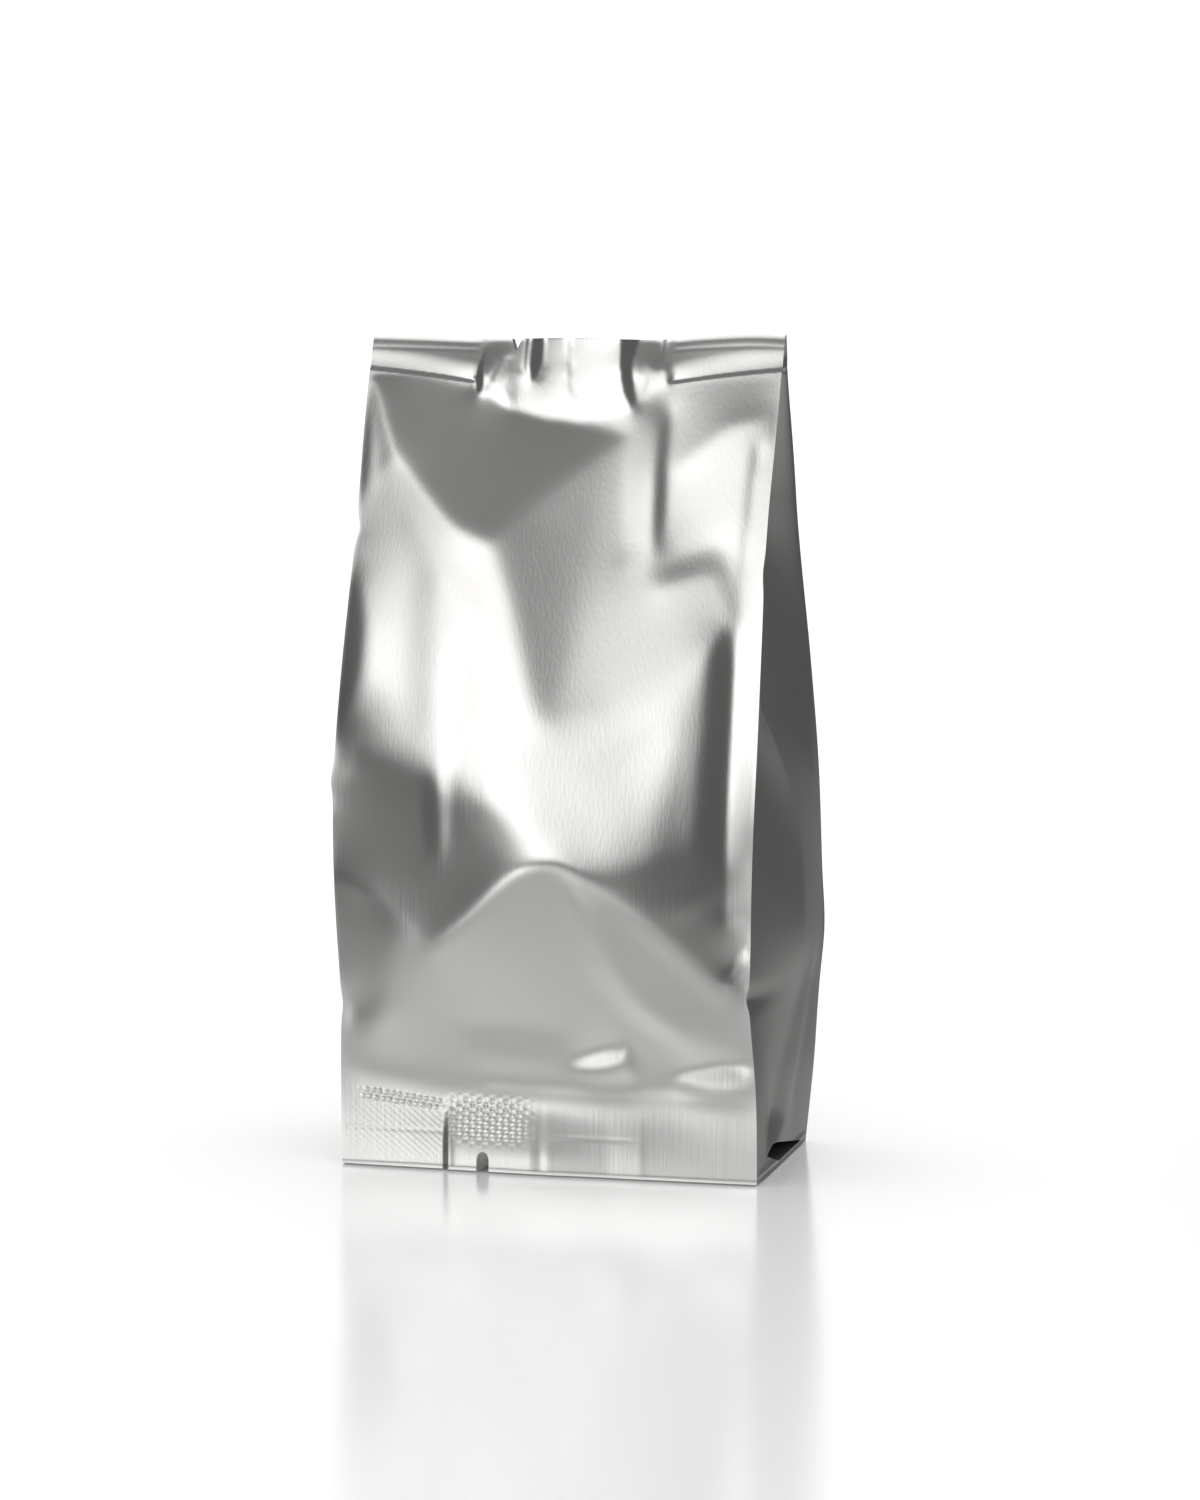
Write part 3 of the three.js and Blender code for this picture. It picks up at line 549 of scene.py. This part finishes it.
def gusset_surface(front_line, back_line, side):
    """The gusset between a front crease and a back crease, with its two pressed lips. It goes
    straight from one crease to the other, and then out by a parabola and the layers at the foot,
    in by the valley, a power of a tent that is highest in the middle, and in by its crumples."""
    depth = (back_line - front_line)[:, 1]
    lip = (np.minimum(EDGE_LIP, EDGE_LIP_SHARE * depth) / depth)[:, None]
    inner = np.linspace(0, 1, GUSSET_STEPS - 1)
    start = np.zeros((len(depth), 1))
    share = np.concatenate([start, lip + inner * (1 - 2 * lip), start + 1], axis=1)
    z = front_line[:, 2][:, None]
    opening = ease(SEAL_THICKNESS, SEAL_THICKNESS + GUSSET_OPENS, depth)[:, None]
    tent = np.clip((np.minimum(share, 1 - share) - lip) / (0.5 - lip), 0, 1)
    inward = along(GUSSET_VALLEY, z) * opening * tent**VALLEY_POWER
    outward = along(SIDE_SWELL, z) * 4 * share * (1 - share)
    layers = sum(LAYER_DEPTH * ridge(height, LAYER_WIDTH, z) for height in FOOT_LAYERS)
    outward = outward + layers * np.minimum(1, LAYER_STEEPNESS * share * (1 - share))
    folds = on_grid(side_sheet, np.linspace(-1, 1, GUSSET_STEPS + 1), rows) * opening
    points = front_line[:, None] + (back_line - front_line)[:, None] * share[..., None]
    points[..., 0] += side * (outward - inward - folds)
    # the dents of the front crease fade inside the gusset instead of running on to the back
    points[..., 0] += pinched(float(side), z) * ((1 - share) ** GUSSET_PINCH_POWER - (1 - share))
    return points


right = gusset_surface(front[:, -1], back[:, -1], 1)
left = gusset_surface(front[:, 0], back[:, 0], -1)
print("points of each side:", right.shape[:2])

# %% The closed skin


def four_corners(a, b, c, d):
    """Quads from four equal arrays of corner numbers."""
    return np.stack([a, b, c, d], axis=-1).reshape(-1, 4)


def end_cap(rings, row, first_new):
    """The flat end that shuts a ring: a grid between the front rim and the back rim, and slivers
    that take the front rim's finer steps. Gives new points, quads and triangles, facing up."""
    ring = np.arange(rings.shape[1]) + row * rings.shape[1]
    points = rings.reshape(-1, 3)
    front_rim = ring[:FRONT_STEPS + 1]
    right_rim = ring[FRONT_STEPS:FRONT_STEPS + GUSSET_STEPS + 1]
    back_start = FRONT_STEPS + GUSSET_STEPS
    back_rim = ring[back_start:back_start + BACK_STEPS + 1][::-1]
    left_rim = np.append(ring[back_start + BACK_STEPS:], ring[0])[::-1]
    cap = np.empty((GUSSET_STEPS + 1, BACK_STEPS + 1), int)
    cap[0], cap[-1] = front_rim[::2], back_rim
    cap[:, -1], cap[:, 0] = right_rim, left_rim
    y = points[right_rim][:, 1]
    share = ((y - y[0]) / (y[-1] - y[0]))[1:-1][:, None, None]
    new = points[cap[0, 1:-1]] * (1 - share) + points[cap[-1, 1:-1]] * share
    cap[1:-1, 1:-1] = first_new + np.arange(new.shape[0] * new.shape[1]).reshape(new.shape[:2])
    quads = four_corners(cap[:-1, :-1], cap[:-1, 1:], cap[1:, 1:], cap[1:, :-1])
    slivers = np.stack([front_rim[:-1:2], front_rim[1::2], front_rim[2::2]], axis=-1)
    return new.reshape(-1, 3), quads, slivers


def closed_skin(front, back, right, left):
    """One mesh from the four sides and two flat ends. A ring starts at the front's left crease."""
    rings = np.concatenate([front[:, :-1], right[:, :-1], back[:, :0:-1], left[:, :0:-1]], axis=1)
    n_rows, n_ring = rings.shape[:2]
    index = np.arange(n_rows * n_ring).reshape(n_rows, n_ring)
    low, high = index[:-1], index[1:]
    sides = four_corners(low, np.roll(low, -1, axis=1), np.roll(high, -1, axis=1), high)
    foot_points, foot_quads, foot_slivers = end_cap(rings, 0, index.size)
    top_points, top_quads, top_slivers = end_cap(rings, n_rows - 1, index.size + len(foot_points))
    vertices = np.concatenate([rings.reshape(-1, 3), foot_points, top_points])
    quads = np.concatenate([sides, foot_quads[:, ::-1], top_quads])
    triangles = np.concatenate([foot_slivers[:, ::-1], top_slivers])
    return vertices, quads, triangles


def mesh_piece(name, vertices, quads, triangles=None):
    """A mesh object from arrays in millimetres, with smooth faces."""
    loops = [quads.reshape(-1)]
    sizes = [np.full(len(quads), 4)]
    if triangles is not None:
        loops.append(triangles.reshape(-1))
        sizes.append(np.full(len(triangles), 3))
    loops, sizes = np.concatenate(loops), np.concatenate(sizes)
    mesh = bpy.data.meshes.new(name)
    mesh.vertices.add(len(vertices))
    mesh.vertices.foreach_set("co", (vertices * MM).astype(np.float32).ravel())
    mesh.loops.add(len(loops))
    mesh.loops.foreach_set("vertex_index", loops.astype(np.int32))
    mesh.polygons.add(len(sizes))
    starts = np.concatenate([[0], np.cumsum(sizes)[:-1]])
    mesh.polygons.foreach_set("loop_start", starts.astype(np.int32))
    mesh.polygons.foreach_set("use_smooth", np.ones(len(sizes), bool))
    mesh.update(calc_edges=True)
    mesh.validate()
    piece = bpy.data.objects.new(name, mesh)
    bpy.context.scene.collection.objects.link(piece)
    return piece


FOOT_FLATNESS = 0.1


def foot_centre():
    """The middle of the CAD solid's flat foot, which stands on the floor, in millimetres."""
    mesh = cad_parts["pouch"].data
    points = np.empty(len(mesh.vertices) * 3, np.float32)
    mesh.vertices.foreach_get("co", points)
    points = points.reshape(-1, 3) / MM
    foot = points[points[:, 2] < FOOT_FLATNESS]
    return np.array([*(foot[:, :2].min(axis=0) + foot[:, :2].max(axis=0)) / 2, 0])


vertices, quads, triangles = closed_skin(front, back, right, left)
shift = foot_centre()
skin = mesh_piece("foil_skin", vertices + shift, quads, triangles)
print("skin:", len(vertices), "points,", len(quads) * 2 + len(triangles), "triangles,",
      "moved by", shift.round(2), "mm")

# %% [markdown]
# ## Cuts
#
# Two small notches are stamped out of the seals, and at each side the gusset is folded under at
# the foot, which leaves a wedge of a pocket. The sheet could be drawn round them, but its even
# grid has no edges there. Cutting plain solids out of the closed skin gives crisp edges and keeps
# it closed.

# %% Notches and pockets
TOP_NOTCH = {"x": -12.3, "width": 3.4, "depth": 2.9}
TOP_NOTCH_Y = (-10, 14)  # from in front of the seal to behind it
BOTTOM_NOTCH = {"x": -12.2, "width": 2.4, "height": 4.0, "depth": 9.0}
ARCH_SHARE = 0.4  # the share of the bottom notch's height that its round end takes
ARCH_POINTS = 13
# [share of the way from front to back, height]
POCKET_MOUTH = [[0.17, 4.2], [0.3, 6.2], [0.98, 0.9], [0.4, 1.1]]
POCKET_INNER = [[0.34, 2.6], [0.6, 1.9]]
POCKET_DEPTH = 12.0
# how far a cutter stands out of the foil: past a cut edge, in front and beside
PAST_EDGE, IN_FRONT, BESIDE = 1.0, 5.0, 4.0
SHARP_ANGLE = 40.0  # in degrees: edges that are folded more than this stay sharp


def hull(points):
    """The convex solid round the points."""
    work = bmesh.new()
    for point in points:
        work.verts.new(point)
    bmesh.ops.convex_hull(work, input=work.verts)
    work.verts.index_update()
    corners = np.array([v.co[:] for v in work.verts])
    faces = [[v.index for v in face.verts] for face in work.faces]
    work.free()
    return corners, faces


def top_notch():
    """A V that is cut down from the top edge, through both leaves of the seal."""
    x, half, top = TOP_NOTCH["x"], TOP_NOTCH["width"] / 2, HEIGHT + PAST_EDGE
    outline = [(x - half, top), (x, HEIGHT - TOP_NOTCH["depth"]), (x + half, top)]
    return hull([(px, y, pz) for px, pz in outline for y in TOP_NOTCH_Y])


def bottom_notch():
    """A slot that is cut up from the foot, with half an ellipse as its round end."""
    x, half, height = BOTTOM_NOTCH["x"], BOTTOM_NOTCH["width"] / 2, BOTTOM_NOTCH["height"]
    rise = ARCH_SHARE * height
    outline = [(x - half, -PAST_EDGE), (x + half, -PAST_EDGE)]
    outline += [(x + half * np.cos(t), height - rise + rise * np.sin(t))
                for t in np.linspace(0, np.pi, ARCH_POINTS)]
    front_y = along(FRONT_EDGE_Y, 0)
    ends = (front_y - IN_FRONT, front_y + BOTTOM_NOTCH["depth"])
    return hull([(px, y, pz) for px, pz in outline for y in ends])


def side_pocket(side):
    """A wedge, wide at its mouth and narrow inside: the right one for side 1, the left for -1."""
    front_y, back_y = along(FRONT_EDGE_Y, 0), along(BACK_EDGE_Y, 0)
    mouth_x, inner_x = WIDTH / 2 + BESIDE, WIDTH / 2 - POCKET_DEPTH
    return hull([(side * x, front_y + share * (back_y - front_y), z)
                 for x, outline in ((mouth_x, POCKET_MOUTH), (inner_x, POCKET_INNER))
                 for share, z in outline])


def cut_out(piece, corners, faces):
    """Takes a closed solid out of a piece and keeps the result as its mesh."""
    mesh = bpy.data.meshes.new("cutter")
    mesh.from_pydata(((corners + shift) * MM).tolist(), [], faces)
    cutter = bpy.data.objects.new("cutter", mesh)
    bpy.context.scene.collection.objects.link(cutter)
    boolean = piece.modifiers.new("cut", "BOOLEAN")
    boolean.operation = "DIFFERENCE"
    boolean.solver = "MANIFOLD"
    boolean.object = cutter
    graph = bpy.context.evaluated_depsgraph_get()
    result = bpy.data.meshes.new_from_object(piece.evaluated_get(graph))
    piece.modifiers.clear()
    old = piece.data
    piece.data = result
    bpy.data.meshes.remove(old)
    bpy.data.objects.remove(cutter)
    bpy.data.meshes.remove(mesh)


for corners, faces in (top_notch(), bottom_notch(), side_pocket(-1), side_pocket(1)):
    cut_out(skin, corners, faces)
skin.data.name = "foil_skin"
skin.data.polygons.foreach_set("use_smooth", np.ones(len(skin.data.polygons), bool))
skin.data.set_sharp_from_angle(angle=np.radians(SHARP_ANGLE))
print("after the cuts:", len(skin.data.polygons), "faces")

# %% [markdown]
# ## Foil
#
# Nearly everything that is seen on bare foil is a reflection. Light and dark could be painted on
# it, but they would stay put while the pouch is turned. So the surface itself is one plain metal:
# aluminium under a thin matt film, which spreads its shine.

# %% Material


def linear(hex_colour):
    """An sRGB hex colour as the linear numbers that a shader takes: sRGB's own curve, undone."""
    values = np.array([int(hex_colour[i:i + 2], 16) / 255 for i in (1, 3, 5)])
    values = np.where(values <= 0.04045, values / 12.92, ((values + 0.055) / 1.055) ** 2.4)
    return (*values.tolist(), 1.0)


def add(tree, kind, links=(), **settings):
    """Adds a node with its settings. A setting that starts with in_ sets that input, and a link is
    (input, node, output)."""
    node = tree.nodes.new(kind)
    for key, value in settings.items():
        if key.startswith("in_"):
            node.inputs[key.removeprefix("in_")].default_value = value
        else:
            setattr(node, key, value)
    for socket, source, output in links:
        tree.links.new(source.outputs[output], node.inputs[socket])
    return node


FOIL_COLOUR = "#D4D3D1"
FOIL_ROUGHNESS = 0.27
# rolling streaks are finer than a tenth of a millimetre, and are drawn coarser so that they show
STREAK_WIDTH = 0.5
STREAK_LENGTH = 30.0
STREAK_DEPTH = 0.014
BUCKLE_SIZE = 11.0
BUCKLE_DEPTH = 0.05


def satin_foil():
    """Aluminium foil under a thin matt film. Rolling leaves fine streaks along the web, which runs
    up the pouch, and handling leaves shallow buckles. Both only tip the surface by a degree or
    so. They are noise: the streaks' is stretched along the height, and the buckles' isn't."""
    material = bpy.data.materials.new("satin_aluminium_foil")
    material.use_nodes = True
    tree = material.node_tree
    shader = tree.nodes["Principled BSDF"]
    shader.inputs["Base Color"].default_value = linear(FOIL_COLOUR)
    shader.inputs["Metallic"].default_value = 1.0
    shader.inputs["Roughness"].default_value = FOIL_ROUGHNESS
    place = add(tree, "ShaderNodeTexCoord")
    across, up = 1 / (STREAK_WIDTH * MM), 1 / (STREAK_LENGTH * MM)
    stretched = add(tree, "ShaderNodeVectorMath", [(0, place, "Object")], operation="MULTIPLY")
    stretched.inputs[1].default_value = (across, across, up)
    streaks = add(tree, "ShaderNodeTexNoise", [("Vector", stretched, "Vector")],
                  in_Scale=1.0, in_Detail=2.0)
    buckles = add(tree, "ShaderNodeTexNoise", [("Vector", place, "Object")],
                  in_Scale=1 / (BUCKLE_SIZE * MM), in_Detail=0.5)
    coarse = add(tree, "ShaderNodeBump", [("Height", buckles, "Fac")],
                 in_Distance=BUCKLE_DEPTH * MM)
    fine = add(tree, "ShaderNodeBump", [("Height", streaks, "Fac"), ("Normal", coarse, "Normal")],
               in_Distance=STREAK_DEPTH * MM)
    tree.links.new(fine.outputs["Normal"], shader.inputs["Normal"])
    return material


skin.data.materials.clear()
skin.data.materials.append(satin_foil())
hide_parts("pouch")
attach(skin, "root")
print("foil: roughness", FOIL_ROUGHNESS, "with streaks", STREAK_WIDTH, "mm wide")

# %% [markdown]
# ## Studio
#
# Foil shows the room, so the room is part of the picture. It could be built of lamps and boards,
# but each of them would also light the floor. Here it is drawn as a glow by direction: one large
# softbox in front and above, a pale table below, and a darker room elsewhere. Only shiny surfaces
# see it. Matt surfaces are lit by an even white dome, and the camera sees plain white.

# %% Camera
LENS_PIXELS = 4199.0  # the focal length, measured in the photograph's pixels
PHOTO_HEIGHT_PIXELS = 1500
SENSOR_HEIGHT = 36.0
CAMERA_AZIMUTH = 14.87
CAMERA_DISTANCE = 787.7
CAMERA_HEIGHT = 163.2
CAMERA_YAW = 14.55
CAMERA_PITCH = 6.23


def studio_camera():
    """The camera stands in front, a little to the right, and looks slightly down."""
    data = bpy.data.cameras.new("camera")
    data.sensor_fit = "VERTICAL"
    data.sensor_height = SENSOR_HEIGHT
    data.lens = SENSOR_HEIGHT * LENS_PIXELS / PHOTO_HEIGHT_PIXELS
    camera = bpy.data.objects.new("camera", data)
    bpy.context.scene.collection.objects.link(camera)
    azimuth = np.radians(CAMERA_AZIMUTH)
    place = np.array([np.sin(azimuth) * CAMERA_DISTANCE, -np.cos(azimuth) * CAMERA_DISTANCE,
                      CAMERA_HEIGHT])
    camera.location = ((place + shift) * MM).tolist()
    camera.rotation_euler = (np.radians(90 - CAMERA_PITCH), 0, np.radians(CAMERA_YAW))
    bpy.context.scene.camera = camera
    print("camera at", place.round(1), "mm, with a lens of", round(data.lens, 1), "mm")


studio_camera()

# %% Floor
FLOOR_REACH = 4000.0
BOARD_COLOUR = "#F4F4F4"
BOARD_ROUGHNESS = 0.18
BOARD_SHINE = 1.0  # a lacquered board mirrors the pouch a little more than plain plastic would


def plain_floor():
    """A wide pale board. Shiny surfaces see the table that the studio's glow draws instead."""
    corners = np.array([[-1, -1, 0], [1, -1, 0], [1, 1, 0], [-1, 1, 0]]) * FLOOR_REACH
    floor = mesh_piece("floor", corners, np.array([[0, 1, 2, 3]]))
    floor.visible_glossy = False
    material = bpy.data.materials.new("pale_studio_board")
    material.use_nodes = True
    shader = material.node_tree.nodes["Principled BSDF"]
    shader.inputs["Base Color"].default_value = linear(BOARD_COLOUR)
    shader.inputs["Roughness"].default_value = BOARD_ROUGHNESS
    shader.inputs["Specular IOR Level"].default_value = BOARD_SHINE
    floor.data.materials.append(material)
    print("floor:", 2 * FLOOR_REACH * MM, "m wide")


plain_floor()

# %% The glow of the room
# Directions are in degrees. Azimuth 0 is in front of the pouch and 90 to its right, and the
# azimuths run from the left, round the back, to the left again.
AZIMUTHS = (-90.0, 270.0)
DOME_STRENGTH = 1.15
ROOM_GLOW = 0.09
# each slope is (from, to, strength at from, strength at to)
CEILING_BY_ELEVATION = (35, 60, 0.0, 0.12)
TABLE_BY_ELEVATION = (-58, -15, 0.5, 0.0)
TABLE_FROM_LEFT = (-110, -40, 0.14, 0.40)
TABLE_TO_RIGHT = (20, 90, 0.0, -0.2)
TABLE_EDGE = (-17, -10, 1.0, 0.0)
RIGHT_IS_DARK = (10, 40, 1.0, 0.0)
# each patch is (strength, azimuth from, to, softness of each end, elevation from, to, softness of
# each end)
PATCHES = [
    # the large softbox in front, which reaches less far down at its left, and its bright middle
    (1.2, -30, 4, 5, 18, 9, 42, 4, 6),
    (1.2, -54, -30, 14, 5, 17, 42, 6, 6),
    (0.85, -34, 2, 8, 12, 8, 33, 4, 5),
    # the bright edge of the table, and the brightest part of that
    (0.68, -30, 6, 8, 12, -20, -5, 4, 3),
    (2.8, -28, -17, 3, 4, -13, -5, 3, 3),
    # the white wall behind, and the grey corner to the right of it
    (1.0, 183, 225, 6, 20, -2, 26, 4, 8),
    (0.07, 160, 225, 10, 20, -14, 40, 5, 10),
    # the table behind on the right, which the lower half of the side sees
    (0.14, 140, 215, 12, 12, -45, -12, 8, 5),
]


class Glow:
    """Builds numbers by direction out of math nodes."""

    def __init__(self, tree):
        """The azimuth is the angle of x and -y, and the elevation is the arc sine of z."""
        self.tree = tree
        place = add(tree, "ShaderNodeTexCoord")
        parts = add(tree, "ShaderNodeSeparateXYZ", [("Vector", place, "Generated")])
        flipped = self.math("MULTIPLY", (parts, "Y"), -1.0)
        around = self.math("DEGREES", self.math("ARCTAN2", (parts, "X"), flipped))
        self.azimuth = self.math("WRAP", around, max(AZIMUTHS), min(AZIMUTHS))
        self.elevation = self.math("DEGREES", self.math("ARCSINE", (parts, "Z")))

    def math(self, operation, *values):
        """A math node. A value is a number, a node, or a (node, output) pair."""
        node = add(self.tree, "ShaderNodeMath", operation=operation)
        for i, value in enumerate(values):
            if isinstance(value, tuple):
                self.tree.links.new(value[0].outputs[value[1]], node.inputs[i])
            elif isinstance(value, bpy.types.Node):
                self.tree.links.new(value.outputs[0], node.inputs[i])
            else:
                node.inputs[i].default_value = value
        return node

    def slope(self, value, low, high, start=0.0, end=1.0):
        """The smooth step from start at low to end at high."""
        node = add(self.tree, "ShaderNodeMapRange", interpolation_type="SMOOTHSTEP")
        self.tree.links.new(value.outputs[0], node.inputs[0])
        for i, number in enumerate((low, high, start, end)):
            node.inputs[1 + i].default_value = number
        return node

    def patch(self, strength, az_from, az_to, az_in, az_out, el_from, el_to, el_in, el_out):
        """A soft-edged box of light: the product of its four soft sides."""
        azimuth, elevation = self.azimuth, self.elevation
        total = self.slope(azimuth, az_from - az_in, az_from + az_in)
        for side in (self.slope(azimuth, az_to - az_out, az_to + az_out, 1.0, 0.0),
                     self.slope(elevation, el_from - el_in, el_from + el_in),
                     self.slope(elevation, el_to - el_out, el_to + el_out, strength, 0.0)):
            total = self.math("MULTIPLY", total, side)
        return total


def studio_world():
    """Shiny surfaces see the room: the table below its edge and the ceiling above it, and the
    patches on both. Everything else sees the even dome."""
    world = bpy.data.worlds.new("studio")
    bpy.context.scene.world = world
    world.use_nodes = True
    tree = world.node_tree
    tree.nodes.clear()
    glow = Glow(tree)
    left = glow.slope(glow.azimuth, *RIGHT_IS_DARK)
    upper = glow.math("MULTIPLY", glow.slope(glow.elevation, *CEILING_BY_ELEVATION), left)
    upper = glow.math("ADD", upper, ROOM_GLOW)
    table = glow.math("ADD", glow.slope(glow.azimuth, *TABLE_FROM_LEFT),
                      glow.slope(glow.azimuth, *TABLE_TO_RIGHT))
    close_up = glow.math("MULTIPLY", glow.slope(glow.elevation, *TABLE_BY_ELEVATION), left)
    table = glow.math("ADD", table, close_up)
    below = glow.slope(glow.elevation, *TABLE_EDGE)
    room = glow.math("MULTIPLY", table, below)
    above = glow.math("SUBTRACT", 1.0, below)
    room = glow.math("ADD", room, glow.math("MULTIPLY", upper, above))
    for numbers in PATCHES:
        room = glow.math("ADD", room, glow.patch(*numbers))
    path = add(tree, "ShaderNodeLightPath")
    shown = add(tree, "ShaderNodeBackground", [("Strength", room, "Value")],
                in_Color=(1, 1, 1, 1))
    dome = add(tree, "ShaderNodeBackground", in_Color=(1, 1, 1, 1), in_Strength=DOME_STRENGTH)
    both = add(tree, "ShaderNodeMixShader",
               [(0, path, "Is Glossy Ray"), (1, dome, 0), (2, shown, 0)])
    add(tree, "ShaderNodeOutputWorld", [("Surface", both, "Shader")])


studio_world()
bpy.context.scene.view_settings.view_transform = "Standard"
print("studio patches:", len(PATCHES))
